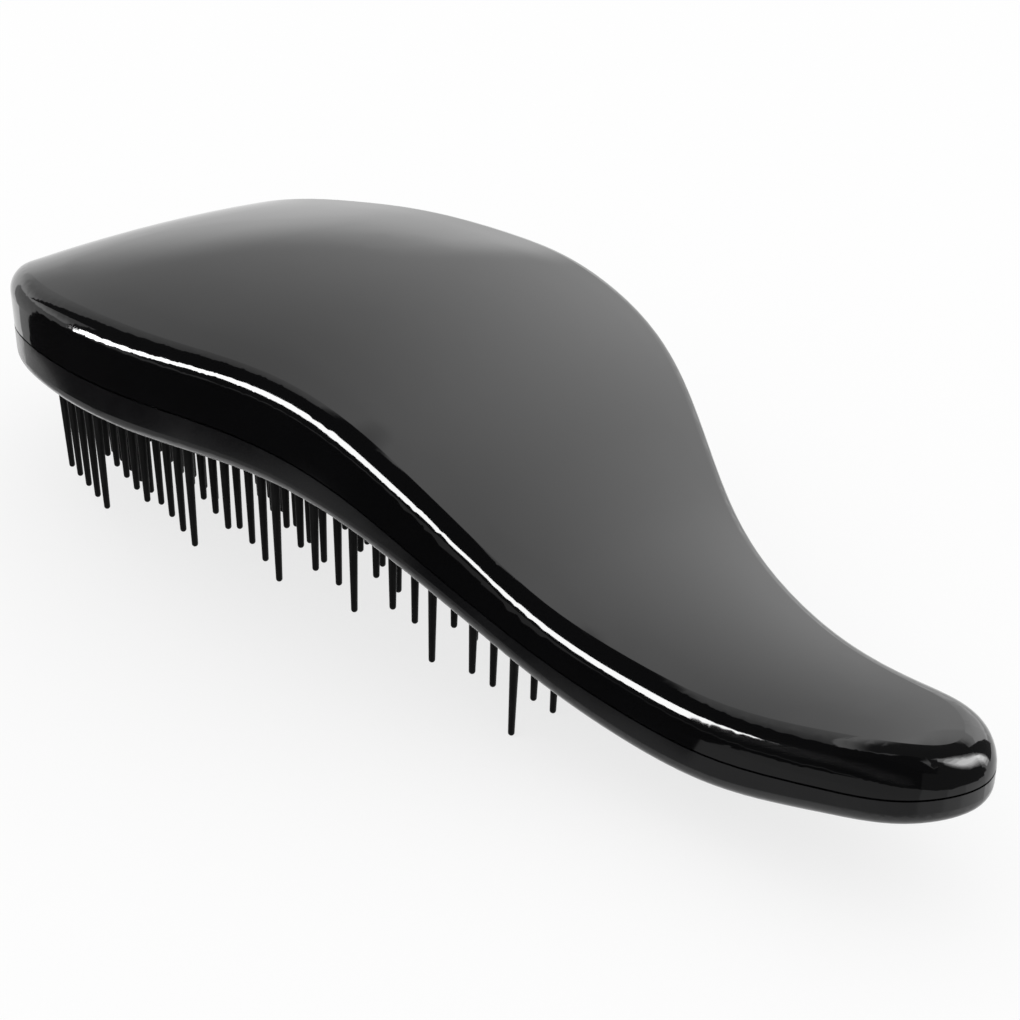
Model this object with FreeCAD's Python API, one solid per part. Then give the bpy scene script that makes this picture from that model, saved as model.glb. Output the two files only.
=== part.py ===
import FreeCAD, Part
import os
from math import atan, cos, degrees, radians, sin, sqrt

# Detangling brush: a gloss cover and a satin base closed on each other along a wavy seam,
# a bristle pad clamped between them, and rows of tapered bristles rooted in the pad.
# Millimetres. X runs from the head to the handle, Y across, Z up, bristles down.
V = FreeCAD.Vector

# Overall sizes
LENGTH = 185.0
HEAD_WIDTH = 75.0
HANDLE_WIDTH = 25.3
SEAM_DROP = 29.1

# Heights of the cover's side wall above the seam, and the rise of its top across the middle
FRONT_WALL = 3.5
HEAD_WALL = 9.5
HANDLE_WALL = 5.5
TAIL_WALL = 5.2
CROWN = 4.4
FRONT_RADIUS = 4.0
SHOULDER_RADIUS = 3.8
TAIL_RADIUS = 4.8
EDGE_LAND = 0.1

# Depth of the base below the seam
HEAD_BASE = 6.2
HANDLE_BASE = 5.2
TAIL_BASE = 4.0
BASE_RADIUS = 2.5

# Mouldings and the lapped seam between them
WALL = 2.0
FLOOR = 1.8
LIP = 1.0
LAP = 1.5
SEAM_GAP = 0.3
FIT = 0.1

# Bristle pad, its opening in the base and the ledge under its flange
LEDGE_WIDTH = 1.8
PAD_TO_TAIL = 56.5
PAD_END_RADIUS = 30.0
PAD_RECESS = 0.6
FLANGE_GAP = 0.4
FLANGE_THICK = 1.4

# Clamp posts over the pad flange, placed from the head's front and from the pad's rear end,
# and snap posts in the handle, placed from the tail
CLAMP_POST_RADIUS = 1.5
CLAMP_POST_GAP = 0.2
CLAMP_FROM_FRONT = 32.0
CLAMP_FROM_PAD_END = 32.5
SNAP_POST_RADIUS = 2.0
SNAP_FROM_TAIL = (43.0, 17.0)
SNAP_POST_DEPTH = 0.5
BOSS_WALL = 1.5
BOSS_HEIGHT = 2.5

# Bristles
ROWS = 19
FIRST_ROW = 13.0
LAST_ROW_TO_PAD_END = 7.5
BRISTLE_PITCH = 4.2
EDGE_MARGIN = 1.2
ROOT_RADIUS = 0.75
TIP_RADIUS = 0.48
ROOT_CLEARANCE = 0.08
ROOT_SINK = 0.4
LAND_MARGIN = 0.1
LONG_BRISTLE = 18.5
SHORT_BRISTLE = 14.5
FRONT_EXTRA = 2.5
FRONT_ROWS = 7
FAN = 3.0

# Plan outline from the head's front to the tail, as places along the length. The front's
# values are shares of the head's half width, the tail's of the handle's, and the middle's
# go from 0 at the handle's half width to 1 at the head's.
FRONT_PLAN = ((0.022, 0.423), (0.081, 0.743))
MIDDLE_PLAN = (
    (0.168, 0.885), (0.27, 1.0), (0.416, 0.943), (0.5, 0.823), (0.584, 0.69),
    (0.665, 0.442), (0.751, 0.227), (0.832, 0.102), (0.919, -0.02),
)
TAIL_PLAN = ((0.973, 0.69),)

# Seam height along the length, as shares of SEAM_DROP above the handle's lowest place
SEAM_SHAPE = (
    (-0.03, 0.72), (0.0, 0.79), (0.081, 0.895), (0.168, 0.948), (0.335, 0.988), (0.416, 1.0),
    (0.5, 0.939), (0.584, 0.739), (0.665, 0.368), (0.751, 0.099), (0.832, 0.0), (0.919, 0.048),
    (1.0, 0.12), (1.03, 0.144),
)
# Share of CROWN along the length
CROWN_SHAPE = (
    (-0.03, 0.1), (0.0, 0.22), (0.081, 0.68), (0.168, 0.92), (0.27, 1.0), (0.416, 0.97),
    (0.584, 0.82), (0.751, 0.7), (0.865, 0.45), (0.919, 0.3), (1.0, 0.03), (1.03, 0.0),
)

# Sizes that follow from the ones above
HEAD_HALF = HEAD_WIDTH / 2
HANDLE_HALF = HANDLE_WIDTH / 2
RIM = WALL + LEDGE_WIDTH
FLANGE_INSET = WALL + FLANGE_GAP
PAD_END = LENGTH - PAD_TO_TAIL
CLAMP_POST_INSET = WALL + CLAMP_POST_GAP + CLAMP_POST_RADIUS
CLAMP_POST_X = (CLAMP_FROM_FRONT, PAD_END - CLAMP_FROM_PAD_END)
SNAP_POST_X = [LENGTH - away for away in SNAP_FROM_TAIL]
ROW_PITCH = (PAD_END - LAST_ROW_TO_PAD_END - FIRST_ROW) / (ROWS - 1)
ROW_PLACES = [FIRST_ROW + i * ROW_PITCH for i in range(ROWS)]
ROW_SHIFT = BRISTLE_PITCH / 2
SOCKET_RADIUS = ROOT_RADIUS + ROOT_CLEARANCE
LAND_HALF = SOCKET_RADIUS + LAND_MARGIN
ROOT_RAISE = ROOT_RADIUS - ROOT_SINK
OUTLINE_SPANS = 6
LENGTH_STEPS = 16
WIDTH_STEPS = 4
X_LOW = SEAM_SHAPE[0][0] * LENGTH
X_HIGH = SEAM_SHAPE[-1][0] * LENGTH
Y_REACH = HEAD_HALF + 5.0
Z_LOW = -30.0
Z_HIGH = SEAM_DROP + 60.0


def profile(points):
    """Smooth height over the length, through (x, height) points."""
    curve = Part.BSplineCurve()
    curve.interpolate(Points=[V(x, 0, z) for x, z in points], Parameters=[x for x, z in points])
    return lambda x: curve.value(x).z


def between(low, high, share):
    return low + (high - low) * share


seam = profile([(s * LENGTH, g * SEAM_DROP) for s, g in SEAM_SHAPE])
crown = profile([(s * LENGTH, g * CROWN) for s, g in CROWN_SHAPE])
side_wall = profile([
    (X_LOW, FRONT_WALL),
    (0.0, FRONT_WALL),
    (0.055 * LENGTH, between(FRONT_WALL, HEAD_WALL, 0.417)),
    (0.14 * LENGTH, between(FRONT_WALL, HEAD_WALL, 0.617)),
    (0.27 * LENGTH, between(FRONT_WALL, HEAD_WALL, 0.817)),
    (0.416 * LENGTH, between(FRONT_WALL, HEAD_WALL, 0.91)),
    (0.49 * LENGTH, HEAD_WALL),
    (0.55 * LENGTH, between(HANDLE_WALL, HEAD_WALL, 0.965)),
    (0.616 * LENGTH, between(HANDLE_WALL, HEAD_WALL, 0.805)),
    (0.68 * LENGTH, between(HANDLE_WALL, HEAD_WALL, 0.2)),
    (0.746 * LENGTH, HANDLE_WALL),
    (0.811 * LENGTH, HANDLE_WALL),
    (0.919 * LENGTH, between(TAIL_WALL, HANDLE_WALL, 0.24)),
    (LENGTH, TAIL_WALL),
    (X_HIGH, TAIL_WALL),
])
base_depth = profile([
    (X_LOW, HEAD_BASE),
    (0.35 * LENGTH, HEAD_BASE),
    (0.6 * LENGTH, between(HANDLE_BASE, HEAD_BASE, 0.2)),
    (0.8 * LENGTH, HANDLE_BASE),
    (LENGTH, TAIL_BASE),
    (X_HIGH, TAIL_BASE),
])
crown_half = profile([
    (X_LOW, HEAD_HALF),
    (0.4 * LENGTH, HEAD_HALF),
    (0.75 * LENGTH, between(HANDLE_HALF, HEAD_HALF, 0.25)),
    (X_HIGH, HANDLE_HALF),
])


def base_face(x):
    return seam(x) - base_depth(x)


def ledge(x):
    return base_face(x) + FLOOR


def pad_face(x):
    return base_face(x) + PAD_RECESS


def pad_top(x):
    return ledge(x) + FLANGE_THICK


# Plan outline

plan_side = [(s * LENGTH, g * HEAD_HALF) for s, g in FRONT_PLAN]
plan_side += [(s * LENGTH, between(HANDLE_HALF, HEAD_HALF, g)) for s, g in MIDDLE_PLAN]
plan_side += [(s * LENGTH, g * HANDLE_HALF) for s, g in TAIL_PLAN]
plan_points = [V(0, 0, 0)] + [V(x, -y, 0) for x, y in plan_side]
plan_points += [V(LENGTH, 0, 0)] + [V(x, y, 0) for x, y in reversed(plan_side)]
plan_curve = Part.BSplineCurve()
plan_curve.interpolate(Points=plan_points, PeriodicFlag=True)


def outline_points(inset, count):
    """Points of the plan outline moved inwards by inset."""
    first, last = plan_curve.FirstParameter, plan_curve.LastParameter
    points = []
    for i in range(count):
        u = first + (last - first) * i / count
        along = plan_curve.tangent(u)[0]
        points.append(plan_curve.value(u) + V(-along.y, along.x, 0) * inset)
    return points


def half_width(x, inset):
    """Half width of the inset outline at one place along the length."""
    side = [p for p in outline_points(inset, 400) if p.y >= 0]
    side.sort(key=lambda p: p.x)
    for a, b in zip(side, side[1:]):
        if a.x <= x <= b.x:
            return between(a.y, b.y, (x - a.x) / (b.x - a.x))
    return 0.0


def prism(inset):
    """Upright block with the plan outline moved inwards by inset."""
    curve = plan_curve
    if inset:
        curve = Part.BSplineCurve()
        curve.interpolate(Points=outline_points(inset, 48), PeriodicFlag=True)
    first, last = curve.FirstParameter, curve.LastParameter
    cuts = [between(first, last, i / OUTLINE_SPANS) for i in range(OUTLINE_SPANS + 1)]
    face = Part.Face(Part.Wire([curve.toShape(a, b) for a, b in zip(cuts, cuts[1:])]))
    face.translate(V(0, 0, Z_LOW))
    return face.extrude(V(0, 0, Z_HIGH - Z_LOW))


def edge_along(height):
    places = [between(X_LOW, X_HIGH, i / LENGTH_STEPS) for i in range(LENGTH_STEPS + 1)]
    curve = Part.BSplineCurve()
    curve.interpolate([V(x, -Y_REACH, height(x)) for x in places])
    return curve.toShape()


def incline(height, x):
    return height(x + 0.5) - height(x - 0.5)


def row_line(height):
    """A height along the length with a flat land under each row of bristles and arcs between."""
    points = [V(X_LOW, -Y_REACH, height(X_LOW))]
    for x in ROW_PLACES:
        rise = incline(height, x) * LAND_HALF
        points.append(V(x - LAND_HALF, -Y_REACH, height(x) - rise))
        points.append(V(x + LAND_HALF, -Y_REACH, height(x) + rise))
    points.append(V(PAD_END + WALL, -Y_REACH, height(PAD_END + WALL)))
    points.append(V(X_HIGH, -Y_REACH, height(X_HIGH)))
    edges = []
    for i, (start, end) in enumerate(zip(points, points[1:])):
        x = (start.x + end.x) / 2
        if i % 2 and i < 2 * ROWS:
            edges.append(Part.makeLine(start, end))
        else:
            edges.append(Part.Arc(start, V(x, -Y_REACH, height(x)), end).toShape())
    return edges


def block(lower, upper):
    """Everything between two lines of edges that follow the length."""
    front = Part.makeLine(lower[0].Vertexes[0].Point, upper[0].Vertexes[0].Point)
    back = Part.makeLine(lower[-1].Vertexes[-1].Point, upper[-1].Vertexes[-1].Point)
    face = Part.Face(Part.Wire(Part.__sortEdges__(lower + [back] + upper + [front])))
    return face.extrude(V(0, 2 * Y_REACH, 0))


def slab(low, high):
    """Everything between two heights that follow the length."""
    return block([edge_along(low)], [edge_along(high)])


def under_top(lowered):
    """Everything under the crowned top, which is lowered by a wall for the inside."""
    grid = []
    for i in range(LENGTH_STEPS + 1):
        x = between(X_LOW, X_HIGH, i / LENGTH_STEPS)
        line = []
        for j in range(WIDTH_STEPS + 1):
            y = between(-Y_REACH, Y_REACH, j / WIDTH_STEPS)
            rise = crown(x) * (1 - (y / crown_half(x)) ** 2)
            line.append(V(x, y, seam(x) + side_wall(x) + rise - lowered))
        grid.append(line)
    surface = Part.BSplineSurface()
    surface.interpolate(grid)
    return surface.toShape().extrude(V(0, 0, Z_LOW - Z_HIGH))


def head_end(extra):
    """Keeps the head's part of an outline, with the pad's rounded rear end."""
    centre = PAD_END - PAD_END_RADIUS
    block = Part.makeBox(centre - X_LOW, 2 * Y_REACH, Z_HIGH - Z_LOW, V(X_LOW, -Y_REACH, Z_LOW))
    disc = Part.makeCylinder(PAD_END_RADIUS + extra, Z_HIGH - Z_LOW, V(centre, 0, Z_LOW))
    return block.fuse(disc).removeSplitter()


def pad_half(x):
    """Half width of the pad's face at one place along the length."""
    reach = half_width(x, RIM + FIT)
    ahead = x - (PAD_END - PAD_END_RADIUS)
    if ahead > 0:
        reach = min(reach, sqrt(max(PAD_END_RADIUS ** 2 - ahead ** 2, 0)))
    return reach


def cylinder(radius, x, y, low, high):
    return Part.makeCylinder(radius, high - low, V(x, y, low))


def outline_edges(solid, above):
    """Numbers and edges that run round the outline, above the seam or below it."""
    found = []
    for number, edge in enumerate(solid.Edges, 1):
        middle = edge.valueAt((edge.FirstParameter + edge.LastParameter) / 2)
        run = edge.Vertexes[-1].Point - edge.Vertexes[0].Point
        height = (middle.z - seam(middle.x)) * above
        if height > LIP and run.x ** 2 + run.y ** 2 > WALL ** 2:
            found.append((number, edge))
    return found


def shoulder(x):
    """Radius of the cover's shoulder, within the height of its wall."""
    if x < WALL:
        return min(FRONT_RADIUS, side_wall(0) + crown(0) - SEAM_GAP - EDGE_LAND)
    if x > LENGTH - WALL:
        return min(TAIL_RADIUS, side_wall(LENGTH) + crown(LENGTH) - SEAM_GAP - EDGE_LAND)
    return min(SHOULDER_RADIUS, HANDLE_WALL - SEAM_GAP - EDGE_LAND)


def with_shoulder(solid):
    """Rounds the cover's upper edge by a radius that changes along each edge."""
    document = FreeCAD.newDocument()
    body = document.addObject("Part::Feature")
    body.Shape = solid
    rounding = document.addObject("Part::Fillet")
    rounding.Base = body
    rounding.Edges = [
        (number, shoulder(edge.valueAt(edge.FirstParameter).x), shoulder(edge.valueAt(edge.LastParameter).x))
        for number, edge in outline_edges(solid, 1)
    ]
    document.recompute()
    return rounding.Shape


# Top cover

above_seam = slab(lambda x: seam(x) + SEAM_GAP, lambda x: Z_HIGH)
cover = prism(0).common(under_top(0)).common(above_seam)
cover = with_shoulder(cover.Solids[0])
hollow = prism(WALL).common(under_top(WALL))
cover = cover.cut(hollow)

tongue = prism(LIP + FIT).cut(prism(WALL)).common(slab(lambda x: seam(x) - LAP, lambda x: seam(x) + LIP))
cover = cover.fuse(tongue)

clamp_places = [
    (x, side * (half_width(x, CLAMP_POST_INSET)))
    for x in CLAMP_POST_X
    for side in (-1, 1)
]
over_pad = slab(lambda x: pad_top(x) + FIT, lambda x: Z_HIGH)
inside_top = under_top(WALL / 2)
for x, y in clamp_places:
    post = cylinder(CLAMP_POST_RADIUS, x, y, Z_LOW, Z_HIGH)
    cover = cover.fuse(post.common(over_pad).common(inside_top))
for x in SNAP_POST_X:
    post = cylinder(SNAP_POST_RADIUS, x, 0, seam(x) - SNAP_POST_DEPTH, Z_HIGH)
    cover = cover.fuse(post.common(inside_top))

# Base

base = prism(0).common(slab(base_face, seam))
base = base.Solids[0]
base = base.makeFillet(BASE_RADIUS, [edge for number, edge in outline_edges(base, -1)])
base = base.cut(prism(WALL).common(slab(ledge, lambda x: Z_HIGH)))
base = base.cut(prism(LIP).common(slab(lambda x: seam(x) - LAP - FIT, lambda x: Z_HIGH)))
base = base.cut(prism(RIM).common(head_end(FIT)))
for x in SNAP_POST_X:
    low = base_face(x) + FLOOR / 2
    boss = cylinder(SNAP_POST_RADIUS + FIT + BOSS_WALL, x, 0, low, seam(x) + BOSS_HEIGHT)
    bore = cylinder(SNAP_POST_RADIUS + FIT, x, 0, ledge(x), Z_HIGH)
    base = base.fuse(boss).cut(bore)

# Bristle pad

pad = prism(RIM + FIT).common(head_end(0))
pad = pad.common(block(row_line(pad_face), [edge_along(pad_top)]))
flange = prism(FLANGE_INSET).common(head_end(RIM - FLANGE_INSET)).common(
    slab(lambda x: ledge(x) + FIT, pad_top))
pad = pad.fuse(flange).removeSplitter()


# Bristle rows

def bristle(length):
    """One tapered bristle along -Z, round at both ends, with its root centre at the origin."""
    slope = (ROOT_RADIUS - TIP_RADIUS) / (length - TIP_RADIUS)
    rise = sqrt(1 - slope ** 2)
    end = length - TIP_RADIUS
    top = V(0, 0, ROOT_RADIUS)
    root = V(ROOT_RADIUS * rise, 0, -ROOT_RADIUS * slope)
    tip = V(TIP_RADIUS * rise, 0, -end - TIP_RADIUS * slope)
    bottom = V(0, 0, -length)
    root_mid = V(ROOT_RADIUS * cos(radians(40)), 0, ROOT_RADIUS * sin(radians(40)))
    tip_mid = V(TIP_RADIUS * cos(radians(45)), 0, -end - TIP_RADIUS * sin(radians(45)))
    edges = [
        Part.Arc(top, root_mid, root).toShape(),
        Part.makeLine(root, tip),
        Part.Arc(tip, tip_mid, bottom).toShape(),
        Part.makeLine(bottom, top),
    ]
    return Part.Face(Part.Wire(edges)).revolve(V(0, 0, 0), V(0, 0, 1), 360)


rows = []
tips = []
for i, x in enumerate(ROW_PLACES):
    turn = atan(incline(pad_face, x))
    root_x = x + ROOT_RAISE * sin(turn)
    root_z = pad_face(x) - ROOT_RAISE * cos(turn)
    lean = FAN * (1 - 2 * i / (ROWS - 1))
    reach = pad_half(x) - EDGE_MARGIN
    start = (-ROW_SHIFT * i) % (2 * BRISTLE_PITCH)
    first = -int((reach + start) // BRISTLE_PITCH)
    last = int((reach - start) // BRISTLE_PITCH)
    longest = LONG_BRISTLE + FRONT_EXTRA * max(0, 1 - i / FRONT_ROWS)
    long_one = bristle(longest)
    short_one = bristle(longest - LONG_BRISTLE + SHORT_BRISTLE)
    for one in (long_one, short_one):
        one.rotate(V(0, 0, 0), V(0, 1, 0), -lean)
    solids = []
    sockets = []
    for k in range(first, last + 1):
        one = (long_one if k % 2 else short_one).copy()
        place = V(root_x, start + k * BRISTLE_PITCH, root_z)
        one.translate(place)
        solids.append(one)
        sockets.append(Part.makeSphere(SOCKET_RADIUS, place))
    rows.append(Part.makeCompound(solids))
    pad = pad.cut(Part.makeCompound(sockets))
    along = V(sin(radians(lean)), 0, -cos(radians(lean)))
    tips.append(V(root_x, 0, root_z) + along * (longest - TIP_RADIUS))

# The brush lies on its bristle tips: it is turned so that the tips carrying it are level
slope = max((tips[0].z - t.z) / (t.x - tips[0].x) for t in tips[1:])
nodes = {"top_cover": cover, "base_shell": base, "bristle_pad": pad}
for i, row in enumerate(rows):
    nodes["bristle_row_%02d" % (i + 1)] = row
for shape in nodes.values():
    shape.rotate(V(0, 0, 0), V(0, 1, 0), -degrees(atan(slope)))
boxes = [shape.optimalBoundingBox() for shape in nodes.values()]
x_middle = (min(b.XMin for b in boxes) + max(b.XMax for b in boxes)) / 2
z_floor = min(b.ZMin for b in boxes)
os.makedirs("parts", exist_ok=True)
for name, shape in nodes.items():
    shape.translate(V(-x_middle, 0, -z_floor))
    shape.exportStep("parts/%s.step" % name)
    print(name, len(shape.Solids), shape.isValid(), round(shape.Volume, 1))
print("turned", round(degrees(atan(slope)), 4), "moved", round(x_middle, 4), round(z_floor, 4))
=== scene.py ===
import bpy
import math
from mathutils import Matrix, Vector

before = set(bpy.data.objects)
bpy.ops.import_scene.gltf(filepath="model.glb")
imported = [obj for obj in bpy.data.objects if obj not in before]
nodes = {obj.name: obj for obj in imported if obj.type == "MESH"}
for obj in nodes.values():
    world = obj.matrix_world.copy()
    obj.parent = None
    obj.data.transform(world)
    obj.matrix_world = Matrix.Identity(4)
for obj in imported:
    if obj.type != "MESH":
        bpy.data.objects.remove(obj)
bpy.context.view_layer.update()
scene = bpy.context.scene


# ---------------------------------------------------------------- materials

PLASTIC_IOR = 1.5
NOISE_ROUGHNESS = 0.6


def new_material(name, color, roughness):
    material = bpy.data.materials.new(name)
    material.use_nodes = True
    shader = material.node_tree.nodes["Principled BSDF"]
    shader.inputs["Base Color"].default_value = (*color, 1.0)
    shader.inputs["Roughness"].default_value = roughness
    shader.inputs["IOR"].default_value = PLASTIC_IOR
    return material, shader


def noise(material, scale, detail, stretch=(1.0, 1.0, 1.0)):
    """Noise in the piece's own coordinates, where scale is in features a metre."""
    tree = material.node_tree
    place = tree.nodes.new("ShaderNodeTexCoord")
    mapping = tree.nodes.new("ShaderNodeMapping")
    mapping.inputs["Scale"].default_value = stretch
    texture = tree.nodes.new("ShaderNodeTexNoise")
    texture.inputs["Scale"].default_value = scale
    texture.inputs["Detail"].default_value = detail
    texture.inputs["Roughness"].default_value = NOISE_ROUGHNESS
    tree.links.new(place.outputs["Object"], mapping.inputs["Vector"])
    tree.links.new(mapping.outputs["Vector"], texture.inputs["Vector"])
    return texture.outputs["Fac"]


def map_range(tree, source, start, stop, first, last):
    """A node that takes source from start..stop to first..last, and its result."""
    node = tree.nodes.new("ShaderNodeMapRange")
    node.inputs["From Min"].default_value = start
    node.inputs["From Max"].default_value = stop
    node.inputs["To Min"].default_value = first
    node.inputs["To Max"].default_value = last
    tree.links.new(source, node.inputs["Value"])
    return node, node.outputs["Result"]


def spread(material, source, low, high, start=0.3, stop=0.7):
    """The value source, from start to stop, spread over low to high."""
    return map_range(material.node_tree, source, start, stop, low, high)[1]


def tint(material, source, dark, light, start=0.3, stop=0.7):
    """A colour between dark and light that follows source."""
    tree = material.node_tree
    ramp = tree.nodes.new("ShaderNodeValToRGB")
    ramp.color_ramp.elements[0].position = start
    ramp.color_ramp.elements[0].color = (*dark, 1.0)
    ramp.color_ramp.elements[1].position = stop
    ramp.color_ramp.elements[1].color = (*light, 1.0)
    tree.links.new(source, ramp.inputs["Fac"])
    return ramp.outputs["Color"]


def add(material, first, second):
    tree = material.node_tree
    node = tree.nodes.new("ShaderNodeMath")
    node.operation = "ADD"
    tree.links.new(first, node.inputs[0])
    tree.links.new(second, node.inputs[1])
    return node.outputs["Value"]


def bump(material, height, depth):
    """Relief of depth metres that follows height."""
    tree = material.node_tree
    node = tree.nodes.new("ShaderNodeBump")
    node.inputs["Strength"].default_value = 1.0
    node.inputs["Distance"].default_value = depth
    tree.links.new(height, node.inputs["Height"])
    return node.outputs["Normal"]


def finish_material(material, shader, color, roughness, normal):
    links = material.node_tree.links
    links.new(color, shader.inputs["Base Color"])
    links.new(roughness, shader.inputs["Roughness"])
    links.new(normal, shader.inputs["Normal"])
    return material


def polished_plastic():
    """The black cover: polished, with a faint orange peel, soft cloudy gloss and fine hair scuffs."""
    material, shader = new_material("gloss_black", (0.0023, 0.0023, 0.0025), 0.06)
    cloud = noise(material, 45.0, 3.0)
    scuff = noise(material, 900.0, 2.0, (0.06, 1.0, 1.0))
    haze = spread(material, cloud, 0.045, 0.07)
    rough = add(material, haze, spread(material, scuff, 0.0, 0.03, 0.6, 0.8))
    peel = bump(material, noise(material, 300.0, 1.0), 0.0000007)
    color = tint(material, cloud, (0.002, 0.002, 0.0022), (0.0027, 0.0027, 0.003))
    return finish_material(material, shader, color, rough, peel)


def satin_plastic():
    """The grey base: moulded with a fine spark-eroded grain."""
    material, shader = new_material("satin_grey", (0.004, 0.004, 0.0046), 0.3)
    grain = noise(material, 3600.0, 2.0)
    cloud = noise(material, 120.0, 3.0)
    rough = add(material, spread(material, grain, 0.11, 0.17), spread(material, cloud, 0.0, 0.05))
    relief = bump(material, grain, 0.0000025)
    color = tint(material, cloud, (0.0034, 0.0034, 0.0039), (0.0047, 0.0047, 0.0053))
    return finish_material(material, shader, color, rough, relief)


def rubber():
    """The bristle pad: matte elastomer with a soft grain."""
    material, shader = new_material("pad_black", (0.005, 0.005, 0.0053), 0.6)
    grain = noise(material, 2200.0, 3.0)
    cloud = noise(material, 160.0, 3.0)
    rough = spread(material, grain, 0.52, 0.7)
    relief = bump(material, grain, 0.00002)
    color = tint(material, cloud, (0.0042, 0.0042, 0.0045), (0.006, 0.006, 0.0063))
    return finish_material(material, shader, color, rough, relief)


def bristle_plastic():
    """The bristles: black nylon with draw lines along their length."""
    material, shader = new_material("bristle_black", (0.0019, 0.0019, 0.002), 0.4)
    shader.inputs["Specular IOR Level"].default_value = 0.1
    lines = noise(material, 3800.0, 2.0, (1.0, 1.0, 0.04))
    cloud = noise(material, 300.0, 2.0)
    rough = add(material, spread(material, lines, 0.3, 0.4), spread(material, cloud, 0.0, 0.06))
    relief = bump(material, lines, 0.000008)
    color = tint(material, cloud, (0.0015, 0.0015, 0.0016), (0.0024, 0.0024, 0.0026))
    return finish_material(material, shader, color, rough, relief)


finishes = {
    "top_cover": polished_plastic(),
    "base_shell": satin_plastic(),
    "bristle_pad": rubber(),
}
bristle_finish = bristle_plastic()
for name, node in nodes.items():
    node.data.materials.clear()
    node.data.materials.append(finishes.get(name, bristle_finish))


# ---------------------------------------------------------------- studio helpers

def stage_mesh(name, points, faces, material):
    mesh = bpy.data.meshes.new(name)
    mesh.from_pydata(points, [], faces)
    mesh.materials.append(material)
    piece = bpy.data.objects.new(name, mesh)
    scene.collection.objects.link(piece)
    return piece


def only_reflected(piece):
    """A studio card that polished surfaces mirror, and that neither lights nor shades anything."""
    piece.visible_camera = False
    piece.visible_diffuse = False
    piece.visible_transmission = False
    piece.visible_volume_scatter = False
    piece.visible_shadow = False


def plain_surface(name, node_type, output):
    """A material of one shader node."""
    material = bpy.data.materials.new(name)
    material.use_nodes = True
    tree = material.node_tree
    tree.nodes.remove(tree.nodes["Principled BSDF"])
    surface = tree.nodes.new(node_type)
    tree.links.new(surface.outputs[output], tree.nodes["Material Output"].inputs["Surface"])
    return material, surface


def matte(name, grey):
    material, surface = plain_surface(name, "ShaderNodeBsdfDiffuse", "BSDF")
    surface.inputs["Color"].default_value = (grey, grey, grey, 1.0)
    return material


def glow(name, strength):
    material, surface = plain_surface(name, "ShaderNodeEmission", "Emission")
    surface.inputs["Strength"].default_value = strength
    return material


def smooth_ramp(tree, source, start, stop, first, last):
    """From first to last while source goes from start to stop, with soft ends."""
    node, result = map_range(tree, source, start, stop, first, last)
    node.interpolation_type = "SMOOTHSTEP"
    return result


def rising_glow(name, start, stop, first, last):
    """A glow that goes from first at height start to last at height stop."""
    material = glow(name, first)
    tree = material.node_tree
    where = tree.nodes.new("ShaderNodeNewGeometry")
    split = tree.nodes.new("ShaderNodeSeparateXYZ")
    tree.links.new(where.outputs["Position"], split.inputs["Vector"])
    light = smooth_ramp(tree, split.outputs["Z"], start, stop, first, last)
    tree.links.new(light, tree.nodes["Emission"].inputs["Strength"])
    return material


def steps(start, stop, count):
    return [start + (stop - start) * i / count for i in range(count + 1)]


def toward(azimuth, elevation, distance):
    """A point in that direction, azimuth 0 toward -Y and rising toward +X."""
    a = math.radians(azimuth)
    e = math.radians(elevation)
    level = distance * math.cos(e)
    return (level * math.sin(a), -level * math.cos(a), distance * math.sin(e))


def grid(rows, width):
    """The faces of a sheet of points."""
    corners = [i * width + j for i in range(rows - 1) for j in range(width - 1)]
    return [(k, k + 1, k + width + 1, k + width) for k in corners]


def dome(name, azimuths, elevations, distance, material):
    """A patch of a sphere."""
    points = [toward(a, e, distance) for e in elevations for a in azimuths]
    return stage_mesh(name, points, grid(len(elevations), len(azimuths)), material)


LAMP_PANELS = 8


def lamp(name, rows, distance, strength):
    """A curved lamp, as the two ends of each of its rows in azimuth and elevation."""
    points = []
    for (a, e), (b, f) in rows:
        ends = zip(steps(a, b, LAMP_PANELS), steps(e, f, LAMP_PANELS))
        points += [toward(u, v, distance) for u, v in ends]
    return stage_mesh(name, points, grid(len(rows), LAMP_PANELS + 1), glow(name + "_white", strength))


# ---------------------------------------------------------------- floor

# White, with part of its own white added for the camera so that the shadow stays light
FLOOR_HALF = 12.0
FLOOR_WHITE = 0.97
FLOOR_OWN_SHARE = 0.75

floor_material = matte("floor_white", FLOOR_WHITE)
tree = floor_material.node_tree
path = tree.nodes.new("ShaderNodeLightPath")
share = tree.nodes.new("ShaderNodeMath")
share.operation = "MULTIPLY"
share.inputs[1].default_value = FLOOR_OWN_SHARE
white = tree.nodes.new("ShaderNodeEmission")
white.inputs["Strength"].default_value = 1.0
mix = tree.nodes.new("ShaderNodeMixShader")
tree.links.new(path.outputs["Is Camera Ray"], share.inputs[0])
tree.links.new(share.outputs["Value"], mix.inputs["Fac"])
tree.links.new(tree.nodes["Diffuse BSDF"].outputs["BSDF"], mix.inputs[1])
tree.links.new(white.outputs["Emission"], mix.inputs[2])
tree.links.new(mix.outputs["Shader"], tree.nodes["Material Output"].inputs["Surface"])
floor_corners = [
    (-FLOOR_HALF, -FLOOR_HALF, 0.0), (FLOOR_HALF, -FLOOR_HALF, 0.0),
    (FLOOR_HALF, FLOOR_HALF, 0.0), (-FLOOR_HALF, FLOOR_HALF, 0.0),
]
floor = stage_mesh("floor", floor_corners, [(0, 1, 2, 3)], floor_material)
floor.visible_glossy = False


# ---------------------------------------------------------------- what the cover mirrors

# A soft light behind, a dark card in front, and a pale table that stands for the floor
SKY_DISTANCE = 3.0
CARD_DISTANCE = 1.8
TABLE_DISTANCE = 1.6
LAMP_DISTANCE = 1.5

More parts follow.
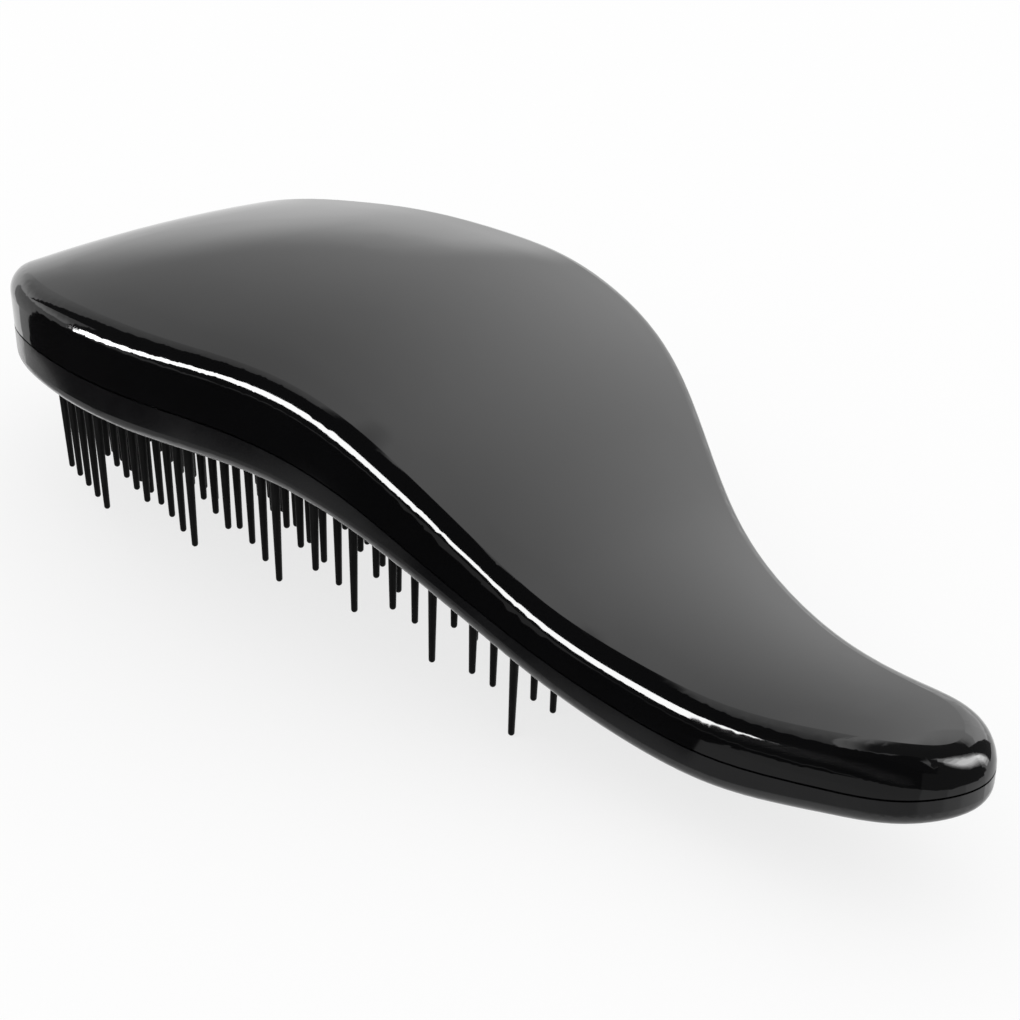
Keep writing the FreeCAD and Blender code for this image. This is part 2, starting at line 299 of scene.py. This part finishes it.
SKY_AXIS = toward(168, 42, 1.0)
SKY_LOW = 0.45
SKY_HIGH = 2.4
SKY_EDGE = 0.25
SKY_FALL = 2.0
SKY_HORIZON = 0.45
SKY_HORIZON_TOP = 0.18
SKY_ROOF = 0.03
SKY_ROOF_START = 0.955
SKY_ROOF_STOP = 0.992


def soft_sky(name):
    """A glow that is strongest round its axis, falls off softly to the sides, rises toward the
    table and sinks overhead."""
    material = glow(name, SKY_LOW)
    tree = material.node_tree

    def math_node(operation, first, second):
        node = tree.nodes.new("ShaderNodeMath")
        node.operation = operation
        for socket, value in zip(node.inputs, (first, second)):
            if isinstance(value, float):
                socket.default_value = value
            else:
                tree.links.new(value, socket)
        return node.outputs["Value"]

    where = tree.nodes.new("ShaderNodeNewGeometry")
    unit = tree.nodes.new("ShaderNodeVectorMath")
    unit.operation = "NORMALIZE"
    along = tree.nodes.new("ShaderNodeVectorMath")
    along.operation = "DOT_PRODUCT"
    along.inputs[1].default_value = SKY_AXIS
    split = tree.nodes.new("ShaderNodeSeparateXYZ")
    tree.links.new(where.outputs["Position"], unit.inputs[0])
    tree.links.new(unit.outputs["Vector"], along.inputs[0])
    tree.links.new(unit.outputs["Vector"], split.inputs["Vector"])
    height = split.outputs["Z"]
    near = math_node("MAXIMUM", along.outputs["Value"], SKY_EDGE)
    near = math_node("MULTIPLY", math_node("SUBTRACT", near, SKY_EDGE), 1 / (1 - SKY_EDGE))
    near = math_node("POWER", near, SKY_FALL)
    light = math_node("ADD", math_node("MULTIPLY", near, SKY_HIGH - SKY_LOW), SKY_LOW)
    horizon = smooth_ramp(tree, height, 0.0, SKY_HORIZON_TOP, SKY_HORIZON, 0.0)
    roof = smooth_ramp(tree, height, SKY_ROOF_START, SKY_ROOF_STOP, 1.0, SKY_ROOF)
    light = math_node("MULTIPLY", math_node("ADD", light, horizon), roof)
    tree.links.new(light, tree.nodes["Emission"].inputs["Strength"])
    return material


mirrored = [
    dome("sky", steps(0, 360, 72), steps(-2, 90, 40), SKY_DISTANCE, soft_sky("sky_soft")),
    dome("card_front", steps(-66, 78, 24), steps(-2, 84, 14), CARD_DISTANCE, glow("card_dark", 0.03)),
]

# The table's pieces: name, material, first and last azimuth, panels, and how pale it is
TABLE = (
    ("table_right", "table_grey", -95, 55, 24, 0.36),
    ("table_side", "table_pale", 55, 80, 5, 0.55),
    ("table_end", "table_paler", 80, 100, 4, 0.75),
    ("table_back", "table_white", 100, 265, 30, 0.95),
)
TABLE_LOW = -46
TABLE_PANELS = 8
for name, finish, first, last, panels, grey in TABLE:
    mirrored.append(dome(name, steps(first, last, panels), steps(TABLE_LOW, 0, TABLE_PANELS),
                         TABLE_DISTANCE, glow(finish, grey)))
mirrored.append(dome("table_under", steps(0, 360, 36), steps(-90, TABLE_LOW, TABLE_PANELS),
                     TABLE_DISTANCE, glow("table_light", 0.8)))

# A dark cloth on the table in front of the head, which the near wall mirrors
CLOTH = (
    (-0.19, -0.06), (-0.142, -0.042), (-0.137, -0.036), (-0.126, -0.0355), (-0.117, -0.0455),
    (-0.104, -0.051), (-0.086, -0.056), (-0.062, -0.087), (-0.04, -0.0925), (-0.014, -0.09),
    (0.013, -0.084), (0.032, -0.055), (0.0425, -0.042), (0.055, -0.034), (0.055, -0.5),
    (-0.25, -0.5), (-0.25, -0.075),
)
cloth_points = [(x, y, 0.0) for x, y in CLOTH]
cloth_face = tuple(range(len(CLOTH)))
mirrored.append(stage_mesh("cloth", cloth_points, [cloth_face], glow("cloth_dark", 0.01)))

# The long lamp in front, as its lowest and highest elevation at each azimuth
LONG_LAMP = (
    (-62, -6, 4), (-54, -2, 10), (-47, 4, 18), (-40, 12, 26), (-31, 19, 33), (-19, 20, 37),
    (-8, 18, 37), (2, 16, 36), (12, 12, 32), (22, 11, 29), (30, 10, 26), (37, 8, 21), (42, 8, 17),
)
long_rows = [((a, low), (a, high)) for a, low, high in LONG_LAMP]
mirrored.append(lamp("lamp_long", long_rows, LAMP_DISTANCE, 24.0))

# A small soft lamp close round the tail, as the middle and half width of its azimuths at each
# elevation, in layers of a size and a strength that grow brighter inward
TAIL = (0.09, 0.0, 0.024)
TAIL_LAMP = (
    (4, 151, 4), (12, 150, 6), (22, 147, 9), (32, 136, 17), (40, 130, 21), (48, 125, 24),
    (57, 121, 24), (65, 119, 20), (73, 116, 18),
)
TAIL_LAYERS = ((1.35, 1.0), (1.15, 2.5), (0.95, 5.0), (0.75, 8.0), (0.5, 11.0))
TAIL_MIDDLE = 42
TAIL_LAMP_DISTANCE = 0.0348
TAIL_LAYER_GAP = 0.0004
tail_pieces = []
for i, (size, strength) in enumerate(TAIL_LAYERS):
    rows = []
    for e, middle, half in TAIL_LAMP:
        level = TAIL_MIDDLE + size * (e - TAIL_MIDDLE)
        rows.append(((middle - size * half, level), (middle + size * half, level)))
    distance = TAIL_LAMP_DISTANCE - TAIL_LAYER_GAP * i
    tail_pieces.append(lamp(f"lamp_tail_{i + 1}", rows, distance, strength))

# A dark hood behind and over the small lamp
HOOD_DISTANCE = 0.035
HOOD_DARK = 0.1
hood_fade = rising_glow("card_top_dark", 0.043, 0.0495, 1.5, HOOD_DARK)
tail_pieces += [
    dome("card_tail", steps(40, 178, 23), steps(-6, 42, 8), HOOD_DISTANCE,
         glow("card_tail_dark", HOOD_DARK)),
    dome("card_tail_top", steps(178, 300, 24), steps(32, 90, 12), HOOD_DISTANCE, hood_fade),
    dome("card_tail_side", steps(60, 178, 24), steps(42, 90, 12), HOOD_DISTANCE,
         glow("card_side_dark", HOOD_DARK)),
]
for piece in tail_pieces:
    piece.location = TAIL
mirrored += tail_pieces

# A flag close to the handle ends the long lamp's line before the tail
FLAG_X = (0.0545, 0.2)
FLAG_Y = -0.045
FLAG_Z = (0.022, 0.11)
handle_points = [
    (FLAG_X[0], FLAG_Y, FLAG_Z[0]), (FLAG_X[1], FLAG_Y, FLAG_Z[0]),
    (FLAG_X[1], FLAG_Y, FLAG_Z[1]), (FLAG_X[0], FLAG_Y, FLAG_Z[1]),
]
mirrored.append(stage_mesh("card_handle", handle_points, [(0, 1, 2, 3)], glow("card_handle_dark", 0.02)))

# A dark flag along the near shoulder, which keeps the long lamp off the crown in views from behind,
# as its lower edge, just outside the shoulder
SHOULDER = (
    (-0.16, -0.041, 0.038), (-0.085, -0.0385, 0.042), (-0.0535, -0.0395, 0.044),
    (-0.0425, -0.0405, 0.0455), (-0.029, -0.0405, 0.0475), (-0.0182, -0.0388, 0.0495),
    (-0.0083, -0.037, 0.05), (0.0001, -0.0355, 0.049), (0.009, -0.034, 0.047),
    (0.0178, -0.0315, 0.0425), (0.0255, -0.0285, 0.037), (0.0331, -0.0255, 0.0315),
    (0.0427, -0.0225, 0.027), (0.0527, -0.0198, 0.025), (0.065, -0.017, 0.0245),
)
SHOULDER_TOP = 0.13
shoulder_points = list(SHOULDER) + [(x, y, SHOULDER_TOP) for x, y, z in SHOULDER]
shoulder_faces = grid(2, len(SHOULDER))
shoulder_dark = glow("card_shoulder_dark", 0.03)
mirrored.append(stage_mesh("card_shoulder", shoulder_points, shoulder_faces, shoulder_dark))

for card in mirrored:
    only_reflected(card)


# ---------------------------------------------------------------- light

world = bpy.data.worlds.new("studio")
world.use_nodes = True
background = world.node_tree.nodes["Background"]
background.inputs["Color"].default_value = (1.0, 1.0, 1.0, 1.0)
background.inputs["Strength"].default_value = 1.0
scene.world = world

scene.view_settings.view_transform = "Standard"


# ---------------------------------------------------------------- camera

CAMERA_PLACE = (0.179657, -0.178912, 0.162866)
CAMERA_RIGHT = (0.69783, 0.71325, 0.06558)
CAMERA_BACK = (0.59723, -0.62997, 0.49643)

camera_data = bpy.data.cameras.new("camera")
camera_data.sensor_width = 36.0
camera_data.lens = 68.12
camera = bpy.data.objects.new("camera", camera_data)
scene.collection.objects.link(camera)
right = Vector(CAMERA_RIGHT).normalized()
back = Vector(CAMERA_BACK).normalized()
up = back.cross(right).normalized()
right = up.cross(back).normalized()
camera.matrix_world = Matrix((
    (right.x, up.x, back.x, CAMERA_PLACE[0]),
    (right.y, up.y, back.y, CAMERA_PLACE[1]),
    (right.z, up.z, back.z, CAMERA_PLACE[2]),
    (0.0, 0.0, 0.0, 1.0),
))
scene.camera = camera
